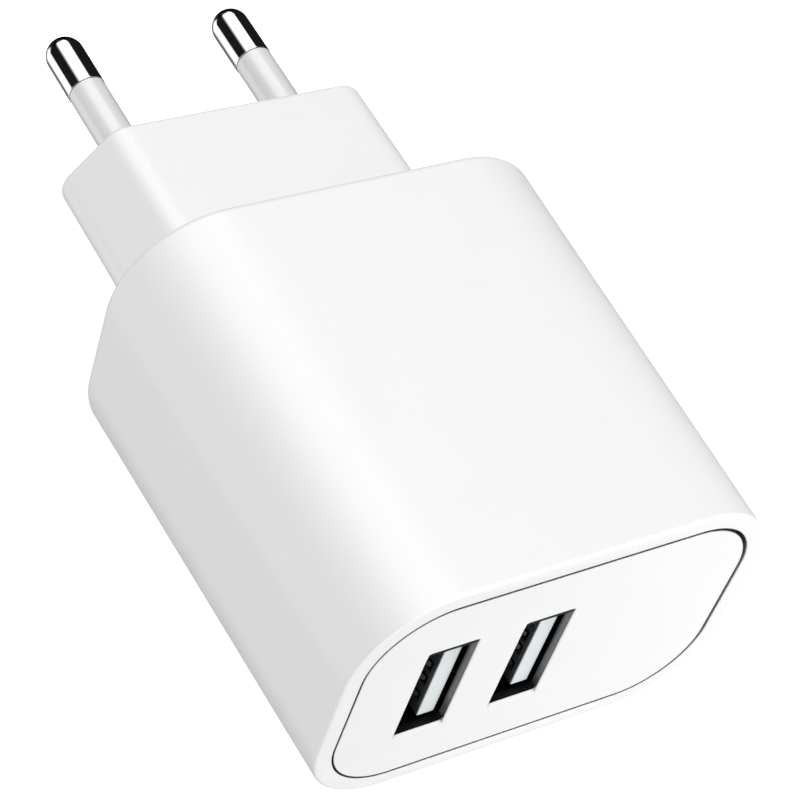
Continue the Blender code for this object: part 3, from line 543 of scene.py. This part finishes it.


# Plastics and plated metals below are painted dark in gaps and hollows as shade.
MATERIALS = {
    "white_shell": moulded_plastic("housing_white", (0.84, 0.845, 0.845), 0.36, drift=0.008,
                                   specular=0.75),
    "white_sleeve": moulded_plastic("sleeve_white", (0.75, 0.755, 0.76), 0.25, 0.00008, 0.0000008, 0.03,
                                    specular=0.7, coat=0.35),
    # its 6 mm reach paints shade over the tongue deep inside the port
    "white_insert": moulded_plastic("insert_white", (0.72, 0.755, 0.77), 0.45, 0.00006, 0.000003, 0.05,
                                    reach=0.006, closed=0.42, open_=0.78),
    "black_nylon": moulded_plastic("nylon_black", (0.02, 0.02, 0.022), 0.5, 0.0001, 0.000004, 0.3),
    "brown_wire": moulded_plastic("wire_brown", (0.16, 0.06, 0.025), 0.45, 0.0002, 0.000002, 0.2),
    "blue_wire": moulded_plastic("wire_blue", (0.03, 0.09, 0.4), 0.45, 0.0002, 0.000002, 0.2),
    "can_sleeve": moulded_plastic("can_sleeve", (0.03, 0.035, 0.05), 0.3, 0.0003, 0.000003, 0.3),
    "blue_disc": moulded_plastic("disc_blue", (0.02, 0.12, 0.42), 0.35, 0.0003, 0.00002, 0.25),
    "resistor_green": moulded_plastic("coating_green", (0.07, 0.22, 0.13), 0.4, 0.0003, 0.00002, 0.25),
    "nickel": plated_metal("pin_nickel", (0.86, 0.85, 0.83), 0.06, (1, 0.02, 1), 0.00008, 0.0000002,
                           (0.6, 0.58, 0.55), 0.1),
    "steel_sheet": folded_steel("shell_steel"),
    # its 6 mm reach paints shade over the contacts deep inside the port
    "gold_plate": plated_metal("contact_gold", (0.5, 0.45, 0.36), 0.35, (1, 0.1, 1), 0.00008,
                               0.0000006, (0.35, 0.3, 0.22), 0.3, 0.006, 0.15, 0.8),
    "board": circuit_board("board_green"),
    "ferrite": sintered("ferrite_grey", (0.035, 0.035, 0.04)),
    "chip_black": sintered("chip_black", (0.015, 0.015, 0.016)),
    "yellow_tape": wound_wire("tape_yellow", (0.78, 0.55, 0.06), 0.0012, "Y", 0.0),
    "copper_wire": wound_wire("wire_copper", (0.68, 0.28, 0.12), 0.0003, "Z", 1.0),
}


def finish_piece(piece, slot, body, *nodes):
    """Material, slot, body and the CAD nodes that the piece stands for."""
    piece.data.materials.clear()
    piece.data.materials.append(MATERIALS[slot])
    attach(piece, body)
    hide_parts(*nodes)


# Enclosure

def make_housing():
    """One closed skin: rim, drafted sides, rear wall with the plug's opening, cavity, ledge, mouth."""
    length = REAR_Y - FRONT_Y
    mouth = -RIM_WIDTH
    rings = [(outline(housing_shape, mouth + EDGE), FRONT_Y)]
    rings += fillet(housing_shape, -RIM_ROUND, FRONT_Y, RIM_ROUND, 1, 1, 6)
    side_steps = 8
    for step in range(1, side_steps):
        t = (RIM_ROUND + (length - RIM_ROUND - REAR_ROUND) * step / side_steps) / length
        rings.append((outline(housing_shape, DRAFT * t), FRONT_Y + length * t))
    rings += fillet(housing_shape, DRAFT, REAR_Y - REAR_ROUND, REAR_ROUND, -1, 1, 8, first=False)
    rings += fillet(hexagon_distance, PLUG_FIT + EDGE, REAR_Y, EDGE, -1, -1, 3)
    rings.append((outline(hexagon_distance, PLUG_FIT), REAR_Y - REAR_WALL))
    cavity = mouth - LEDGE
    rings.append((outline(housing_shape, cavity + DRAFT), REAR_Y - REAR_WALL))
    rings.append((outline(housing_shape, cavity), FRONT_Y + MOUTH_DEPTH))
    rings.append((outline(housing_shape, mouth), FRONT_Y + MOUTH_DEPTH))
    rings += fillet(housing_shape, mouth, FRONT_Y + EDGE, EDGE, 1, -1, 3, first=False)[:-1]
    housing = loft("housing_sleeve", rings, cap_ends=False)

    board_low, board_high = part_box("main_board")
    for side in (-1, 1):
        for low_z in (board_low.z - TOUCH - RAIL_HEIGHT, board_high.z + TOUCH):
            ends = sorted(side * x for x in RAIL_X)
            rail = box_tool("rail", (ends[0], RAIL_Y[0], low_z),
                            (ends[1], RAIL_Y[1], low_z + RAIL_HEIGHT))
            join(housing, rail)
    finish_piece(shade(housing), "white_shell", "charger", "main_housing")


def make_plug_body():
    inner_y = REAR_Y - REAR_WALL - TOUCH
    flange_y = PLUG_LOW.y
    half_width, half_height = PLUG_HIGH.x, PLUG_HIGH.z

    def flange_shape(x, z):
        return rounded_box_distance(x, z, half_width, half_height, FLANGE_RADIUS)

    rings = fillet(hexagon_distance, -PLUG_FACE_ROUND, PLUG_FACE_Y, PLUG_FACE_ROUND, 1, -1, 6)
    for step in (1, 2, 3):
        rings.append((outline(hexagon_distance, 0), PLUG_FACE_Y + (inner_y - PLUG_FACE_Y) * step / 3))
    rings.append((outline(flange_shape, 0), inner_y))
    rings.append((outline(flange_shape, 0), flange_y))
    rings.append((outline(hexagon_distance, -PLUG_WALL), flange_y))
    rings.append((outline(hexagon_distance, -PLUG_WALL), PLUG_FACE_Y - PLUG_END_WALL))
    plug = loft("plug_block", rings)
    for name in ("live_pin", "neutral_pin"):
        low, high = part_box(name)
        hole = SLEEVE_RADIUS + HOLE_GAP
        outer_y, end_y = PLUG_FACE_Y + CUT_OVERRUN, PLUG_FACE_Y - PLUG_END_WALL - CUT_OVERRUN
        profile = [(0, outer_y), (hole + EDGE + CUT_OVERRUN, outer_y), (hole, PLUG_FACE_Y - EDGE),
                   (hole, end_y), (0, end_y)]
        tool = lathe("pin_hole", profile, ((low.x + high.x) / 2, 0), False)
        boolean(plug, tool)
    finish_piece(shade(plug), "white_shell", "charger", "plug_body")


def port_box(number):
    """The inside of a port's metal shell: low and high corner."""
    low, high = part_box(f"usb{number}_shell")
    sheet = Vector((SHELL_SHEET, 0, SHELL_SHEET))
    return low + sheet, high - sheet


def make_front_panel():
    seam = -RIM_WIDTH - SEAM
    back_y = FRONT_Y + PANEL_THICKNESS
    skirt = seam - LEDGE - TOUCH
    rings = fillet(housing_shape, seam - EDGE, FRONT_Y, EDGE, 1, 1, 4)
    rings.append((outline(housing_shape, seam), back_y))
    rings.append((outline(housing_shape, skirt), back_y))
    rings.append((outline(housing_shape, skirt), PANEL_HIGH.y))
    rings.append((outline(housing_shape, skirt - SKIRT_WALL), PANEL_HIGH.y))
    rings.append((outline(housing_shape, skirt - SKIRT_WALL), back_y))
    panel = loft("port_panel", rings)
    for number in (1, 2):
        cut_window(panel, number, back_y)
    panel.data.transform(Matrix.Translation((-SEAM_SHIFT, 0, 0)))
    finish_piece(shade(panel), "white_shell", "charger", "front_panel")


def cut_window(panel, number, back_y):
    """Flared window with a chamfered sill, and the pocket behind it for the port's shell."""
    low, high = port_box(number)
    centre = ((low.x + high.x) / 2, (low.z + high.z) / 2)
    half_width, half_height = (high.x - low.x) / 2, (high.z - low.z) / 2
    before = 0.0004

    def window(x, z):
        return rounded_box_distance(x, z, half_width, half_height, WINDOW_CORNER)

    count = 128
    cutter = loft("window", [
        (outline(window, WINDOW_FLARE + before, count), FRONT_Y - before),
        (outline(window, 0, count), FRONT_Y + WINDOW_FLARE),
        (outline(window, 0, count), back_y + CUT_OVERRUN)], centre=centre)
    boolean(panel, cutter)
    room = SHELL_SHEET + SHELL_CLEARANCE
    pocket = box_tool("pocket", (low.x - room, FRONT_Y + PANEL_LIP, low.z - room),
                      (high.x + room, back_y + CUT_OVERRUN, high.z + room))
    boolean(panel, pocket)
    near_pocket = box_tool("near_pocket", (low.x - room, FRONT_Y + PORT_EDGE, low.z + room),
                           (high.x + room, back_y + CUT_OVERRUN / 2, high.z + room))
    boolean(panel, near_pocket)
    # The sill's ends stay just inside the window's flare, so that no faces coincide.
    inside = 0.00001
    top = low.z + 3 * PORT_LIP
    sill = []
    for y, drop, wider in ((FRONT_Y - before, PORT_LIP + before, WINDOW_FLARE + before),
                           (FRONT_Y + PORT_LIP, 0, WINDOW_FLARE - PORT_LIP)):
        left, right = low.x - wider + inside, high.x + wider - inside
        sill.append(([(left, low.z - drop), (right, low.z - drop), (right, top), (left, top)], y))
    boolean(panel, loft("sill", sill))


# Plug pins

def make_pin(name):
    low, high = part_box(name)
    centre = ((low.x + high.x) / 2, (low.z + high.z) / 2)
    sleeve_low, sleeve_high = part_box(f"{name}_sleeve")
    tip_y, metal_y = high.y, sleeve_high.y + PIN_EDGE
    head_top = PLUG_FACE_Y - PLUG_END_WALL - TOUCH
    head_low = head_top - PIN_HEAD_THICKNESS
    chamfer = PIN_HEAD_CHAMFER
    profile = [(0, tip_y)] + arc(0, tip_y - PIN_RADIUS, PIN_RADIUS, 90, 0, 20)[1:]
    profile += arc(PIN_RADIUS - PIN_EDGE, metal_y + PIN_EDGE, PIN_EDGE, 0, -90, 3)
    profile += [(PIN_NECK, metal_y), (PIN_NECK, head_top), (PIN_HEAD - chamfer, head_top),
                (PIN_HEAD, head_top - chamfer), (PIN_HEAD, head_low + chamfer),
                (PIN_HEAD - chamfer, head_low), (PIN_TAIL, head_low), (PIN_TAIL, low.y + chamfer),
                (PIN_TAIL - chamfer, low.y), (0, low.y)]
    pin = lathe(f"{name}_turned", profile, centre, False)
    finish_piece(shade(pin, 35), "nickel", "charger", name)

    top = metal_y - FACE_GAP
    inner = PIN_NECK + SLEEVE_GAP
    profile = [(inner, top)] + arc(SLEEVE_RADIUS - EDGE, top - EDGE, EDGE, 90, 0, 4)
    collar_y = PLUG_FACE_Y + COLLAR_HEIGHT
    profile += [(SLEEVE_RADIUS, collar_y + COLLAR_TAPER), (COLLAR_RADIUS, collar_y),
                (COLLAR_RADIUS, PLUG_FACE_Y + FACE_GAP), (SLEEVE_RADIUS, PLUG_FACE_Y + FACE_GAP),
                (SLEEVE_RADIUS, sleeve_low.y), (inner, sleeve_low.y)]
    sleeve = lathe(f"{name}_insulating_sleeve", profile, centre, True)
    finish_piece(shade(sleeve, 40), "white_sleeve", "charger", f"{name}_sleeve")


# USB ports

def make_usb_shell(number):
    """Folded sheet with chamfered mouth, spring fingers in the broad sides and two solder tabs."""
    inside_low, inside_high = port_box(number)
    low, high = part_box(f"usb{number}_shell")
    rear_y = low.y + SHELL_LENGTH
    centre = ((low.x + high.x) / 2, (low.z + high.z) / 2)
    half_width, half_height = (inside_high.x - inside_low.x) / 2, (inside_high.z - inside_low.z) / 2

    def inner(x, z):
        return rounded_box_distance(x, z, half_width, half_height, SHELL_CORNER)

    count = 160
    edge = 0.00006
    front_y = FRONT_Y + PORT_EDGE + edge / 2
    rings = [(outline(inner, SHELL_LEAD, count), front_y),
             (outline(inner, SHELL_SHEET - edge, count), front_y),
             (outline(inner, SHELL_SHEET, count), front_y + edge),
             (outline(inner, SHELL_SHEET, count), rear_y), (outline(inner, 0, count), rear_y),
             (outline(inner, 0, count), front_y + 2.5 * SHELL_LEAD)]
    shell = loft(f"usb{number}_metal_shell", rings, cap_ends=False, centre=centre)
    # The lower edge stops behind the panel's lip, and the upper edge is rolled in.
    for vert in shell.data.vertices:
        at_mouth = vert.co.y < FRONT_Y + PANEL_LIP
        if at_mouth and vert.co.z < SHELL_SHEET - half_height:
            vert.co.y += PANEL_LIP - PORT_EDGE
        elif vert.co.y < front_y + SHELL_LEAD and abs(vert.co.z - half_height) < 1.5 * SHELL_LEAD:
            vert.co.z -= ROLLED_EDGE
    free_y, root_y = low.y + FINGER_FRONT, low.y + FINGER_ROOT
    for side in (-1, 1):
        cut_fingers(shell, centre[0], half_width, side, free_y, root_y)
        z_wall = sorted((side * half_height, side * (half_height + SHELL_SHEET)))
        tab = box_tool("tab", (centre[0] - TAB_HALF_WIDTH, rear_y - TAB_ROOT, z_wall[0]),
                       (centre[0] + TAB_HALF_WIDTH, high.y, z_wall[1]))
        join(shell, tab)
    bend_fingers(shell, centre[0], half_width, free_y, root_y)
    finish_piece(shade(shell), "steel_sheet", "charger", f"usb{number}_shell")


def cut_fingers(shell, centre_x, half_width, side, free_y, root_y):
    """Cuts a U-shaped slit round each of one broad wall's two spring fingers."""
    margin = 0.0001
    wall = sorted((side * (half_width - margin), side * (half_width + SHELL_SHEET + margin)))
    half = FINGER_HALF_WIDTH
    for z in (-FINGER_Z, FINGER_Z):
        slot = box_tool("slot", (centre_x + wall[0], free_y, z - half - FINGER_SLIT),
                        (centre_x + wall[1], root_y, z + half + FINGER_SLIT))
        bar = box_tool("bar", (centre_x + wall[0] - CUT_OVERRUN, free_y + FINGER_SLIT * 1.6, z - half),
                       (centre_x + wall[1] + CUT_OVERRUN, root_y + CUT_OVERRUN, z + half))
        boolean(slot, bar)
        boolean(shell, slot)


def bend_fingers(shell, centre_x, half_width, free_y, root_y):
    """Presses the free ends of the spring fingers a little into the port."""
    margin = 0.00001
    for vert in shell.data.vertices:
        x, y, z = vert.co
        on_broad_wall = abs(x - centre_x) > half_width - SHELL_SHEET
        beside_finger = abs(abs(z) - FINGER_Z) < FINGER_HALF_WIDTH + margin
        if on_broad_wall and beside_finger and free_y + FINGER_SLIT < y < root_y:
            reach = (root_y - y) / (root_y - free_y)
            vert.co.x -= FINGER_PRESS * reach * (1 if x > centre_x else -1)


def make_usb_insulator(number):
    low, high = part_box(f"usb{number}_insulator")
    _, inside_high = port_box(number)
    face_x = inside_high.x - TONGUE_INSET - TONGUE_THICKNESS
    base_y = high.y - BASE_DEPTH
    tongue = box_tool(f"usb{number}_tongue_and_base", (face_x, low.y, -TONGUE_HEIGHT / 2),
                      (face_x + TONGUE_THICKNESS, high.y - TOUCH, TONGUE_HEIGHT / 2), TONGUE_EDGE, 3)
    base = box_tool("base", (low.x, base_y, low.z), high, BASE_EDGE, 2)
    boolean(tongue, base, "UNION")
    for _, place in contact_places(number):
        groove = box_tool("groove", (face_x - GROOVE_OVERRUN, low.y + GROOVE_START,
                                     place.z - GROOVE_WIDTH / 2),
                          (face_x + GROOVE_DEPTH, base_y, place.z + GROOVE_WIDTH / 2))
        boolean(tongue, groove)
    finish_piece(shade(tongue), "white_insert", "charger", f"usb{number}_insulator")


def contact_places(number):
    """Each contact's node and the middle of its box."""
    for name in ("vbus", "data_minus", "data_plus", "ground"):
        node = f"usb{number}_{name}_contact"
        low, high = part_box(node)
        yield node, (low + high) / 2


def make_usb_contact(node, place):
    """A beam of thin sheet with a smooth bow and a rounded free end."""
    low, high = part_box(node)
    half_width = CONTACT_WIDTH / 2 - CONTACT_INSET
    length = high.y - low.y - CONTACT_SHEET
    tip_y = low.y + CONTACT_SHEET / 2
    steps = 28
    bm = bmesh.new()
    rows = []
    for step in range(steps + 1):
        t = step / steps
        y = tip_y + length * t
        x = high.x - CONTACT_SHEET / 2 - (high.x - low.x - CONTACT_SHEET) * bow(t)
        # The free end narrows to a rounded 55 % of the width over its first 12 %.
        half = half_width * (0.55 + 0.45 * min(1, t / 0.12) ** 0.5)
        rows.append([bm.verts.new((x, y, place.z + half * across)) for across in (-1, -0.6, 0, 0.6, 1)])
    for start, end in zip(rows, rows[1:]):
        for i in range(4):
            bm.faces.new((start[i], start[i + 1], end[i + 1], end[i]))
    bmesh.ops.recalc_face_normals(bm, faces=bm.faces[:])
    mesh = bpy.data.meshes.new(node)
    bm.to_mesh(mesh)
    bm.free()
    contact = add_object(f"{node}_beam", mesh)
    solid = contact.modifiers.new("sheet", "SOLIDIFY")
    solid.thickness = CONTACT_SHEET * 0.95
    solid.offset = 0
    solid.use_even_offset = True
    contact.data = evaluated_mesh(contact)
    contact.modifiers.clear()
    finish_piece(shade(contact, 40), "gold_plate", node, node)


def bow(t):
    """Height of the beam over its length from the free end: a crown near the tip, flat at the root."""
    tip_height, crown, root = 0.28, 0.2, 0.8
    if t < crown:
        return tip_height + (1 - tip_height) * sin(t / crown * pi / 2)
    if t < root:
        return (1 + cos((t - crown) / (root - crown) * pi)) / 2
    return 0.0


# Studio

def make_studio():
    """A white floor that neither shades the charger nor shows in its gloss."""
    floor_mesh = bpy.data.meshes.new("floor")
    half = 1.5
    floor_z = CAD_LOW.z - 0.0001    # just clear of the housing
    floor_mesh.from_pydata([(-half, -half, floor_z), (half, -half, floor_z), (half, half, floor_z),
                            (-half, half, floor_z)], [], [(0, 1, 2, 3)])
    floor = add_object("floor", floor_mesh)
    nodes = Nodes("floor_white")
    speck = nodes.spread(nodes.noise(0.02), 0.0, 1.0)
    tint = nodes.blend(speck, (0.93, 0.93, 0.93), (0.95, 0.95, 0.95))
    floor.data.materials.append(nodes.finish(tint))
    nodes.shader.inputs["Roughness"].default_value = 0.9
    nodes.shader.inputs["Emission Color"].default_value = (1, 1, 1, 1)
    nodes.shader.inputs["Emission Strength"].default_value = 0.5
    floor.visible_glossy = False
    floor.visible_diffuse = False
    floor.visible_shadow = False


def make_world():
    """White to the eye, a little dimmer as light, and streaked for what a glossy surface reflects."""
    world = bpy.data.worlds.new("studio")
    bpy.context.scene.world = world
    world.use_nodes = True
    tree = world.node_tree
    tree.nodes.clear()
    rays = tree.nodes.new("ShaderNodeLightPath")
    place = tree.nodes.new("ShaderNodeTexCoord")
    split = tree.nodes.new("ShaderNodeSeparateXYZ")
    tree.links.new(place.outputs["Generated"], split.inputs["Vector"])
    angle = tree.nodes.new("ShaderNodeMath")
    angle.operation = "ARCTAN2"
    tree.links.new(split.outputs["Z"], angle.inputs[0])
    tree.links.new(split.outputs["X"], angle.inputs[1])
    turn = tree.nodes.new("ShaderNodeMapRange")
    turn.inputs["From Min"].default_value = -pi
    turn.inputs["From Max"].default_value = pi
    tree.links.new(angle.outputs[0], turn.inputs["Value"])
    streaks = tree.nodes.new("ShaderNodeValToRGB")
    ramp = streaks.color_ramp
    ramp.interpolation = "EASE"
    dark, below, side, light = 0.01, 0.18, 1.25, 1.9
    # Turn round the Y axis as a part of a circle, from -X through -Z, +X and +Z back to -X
    stops = [(0.0, dark), (0.018, dark), (0.04, side), (0.15, side), (0.2, below), (0.28, below),
             (0.33, dark), (0.662, dark), (0.685, light), (0.815, light), (0.885, dark), (1.0, dark)]
    for index, (at, level) in enumerate(stops):
        stop = ramp.elements[index] if index < 2 else ramp.elements.new(at)
        stop.position = at
        stop.color = (level, level, level, 1)
    tree.links.new(turn.outputs["Result"], streaks.inputs["Fac"])
    lamp = tree.nodes.new("ShaderNodeBackground")
    lamp.inputs["Color"].default_value = (1, 1, 1, 1)
    lamp.inputs["Strength"].default_value = 0.63
    seen = tree.nodes.new("ShaderNodeBackground")
    seen.inputs["Color"].default_value = (1, 1, 1, 1)
    seen.inputs["Strength"].default_value = 1.05
    mirrored = tree.nodes.new("ShaderNodeBackground")
    tree.links.new(streaks.outputs["Color"], mirrored.inputs["Color"])
    # The streaks end short of the wall side, so that the pins' domes have dark rims.
    ends = tree.nodes.new("ShaderNodeMapRange")
    ends.inputs["From Min"].default_value = 0.86
    ends.inputs["From Max"].default_value = 0.93
    ends.inputs["To Min"].default_value = 1.0
    ends.inputs["To Max"].default_value = 0.02
    tree.links.new(split.outputs["Y"], ends.inputs["Value"])
    tree.links.new(ends.outputs["Result"], mirrored.inputs["Strength"])
    for_gloss = tree.nodes.new("ShaderNodeMixShader")
    tree.links.new(rays.outputs["Is Glossy Ray"], for_gloss.inputs["Fac"])
    tree.links.new(lamp.outputs[0], for_gloss.inputs[1])
    tree.links.new(mirrored.outputs[0], for_gloss.inputs[2])
    for_eye = tree.nodes.new("ShaderNodeMixShader")
    tree.links.new(rays.outputs["Is Camera Ray"], for_eye.inputs["Fac"])
    tree.links.new(for_gloss.outputs[0], for_eye.inputs[1])
    tree.links.new(seen.outputs[0], for_eye.inputs[2])
    output = tree.nodes.new("ShaderNodeOutputWorld")
    tree.links.new(for_eye.outputs[0], output.inputs["Surface"])


def add_area_light(name, place, target, size, power):
    """A square lamp facing the target; glossy surfaces show the world's streaks instead of it."""
    data = bpy.data.lights.new(name, "AREA")
    data.size = size
    data.energy = power
    light = bpy.data.objects.new(name, data)
    bpy.context.scene.collection.objects.link(light)
    light.location = place
    light.rotation_euler = (Vector(target) - Vector(place)).to_track_quat("-Z", "Y").to_euler()
    light.visible_glossy = False


def make_lights():
    middle = (CAD_LOW + CAD_HIGH) / 2
    panel_middle = (PANEL_LOW + PANEL_HIGH) / 2
    add_area_light("overhead", middle + Vector((-0.05, 0, 0.7)), middle, 0.45, 2.55)
    add_area_light("low_left", middle + Vector((-0.25, 0, -0.433)), middle, 0.2, 0.62)
    add_area_light("front", panel_middle + Vector((0.1, -0.17, 0)), panel_middle, 0.12, 0.305)


def make_camera():
    data = bpy.data.cameras.new("camera")
    data.sensor_width = CAMERA_SENSOR
    data.lens = CAMERA_LENS
    data.clip_start = 0.01
    camera = bpy.data.objects.new("camera", data)
    bpy.context.scene.collection.objects.link(camera)
    back = CAMERA_RIGHT.cross(CAMERA_UP)
    turn = Matrix((CAMERA_RIGHT, CAMERA_UP, back)).transposed().to_4x4()
    camera.matrix_world = Matrix.Translation(CAMERA_PLACE) @ turn
    bpy.context.scene.camera = camera


def finish_inner_nodes():
    """The pieces inside keep their CAD shapes and get full materials."""
    slots = {entry["node"]: entry["material_slot"] for entry in frame["record"]["subparts"]}
    for name, node in frame["nodes"].items():
        material = MATERIALS[slots[name]]
        node.data.materials.clear()
        node.data.materials.append(material)


finish_inner_nodes()
make_housing()
make_plug_body()
make_front_panel()
for pin_name in ("live_pin", "neutral_pin"):
    make_pin(pin_name)
for port_number in (1, 2):
    make_usb_shell(port_number)
    make_usb_insulator(port_number)
    for contact_node, contact_place in contact_places(port_number):
        make_usb_contact(contact_node, contact_place)
make_studio()
make_world()
make_lights()
make_camera()
bpy.context.scene.view_settings.view_transform = "Standard"
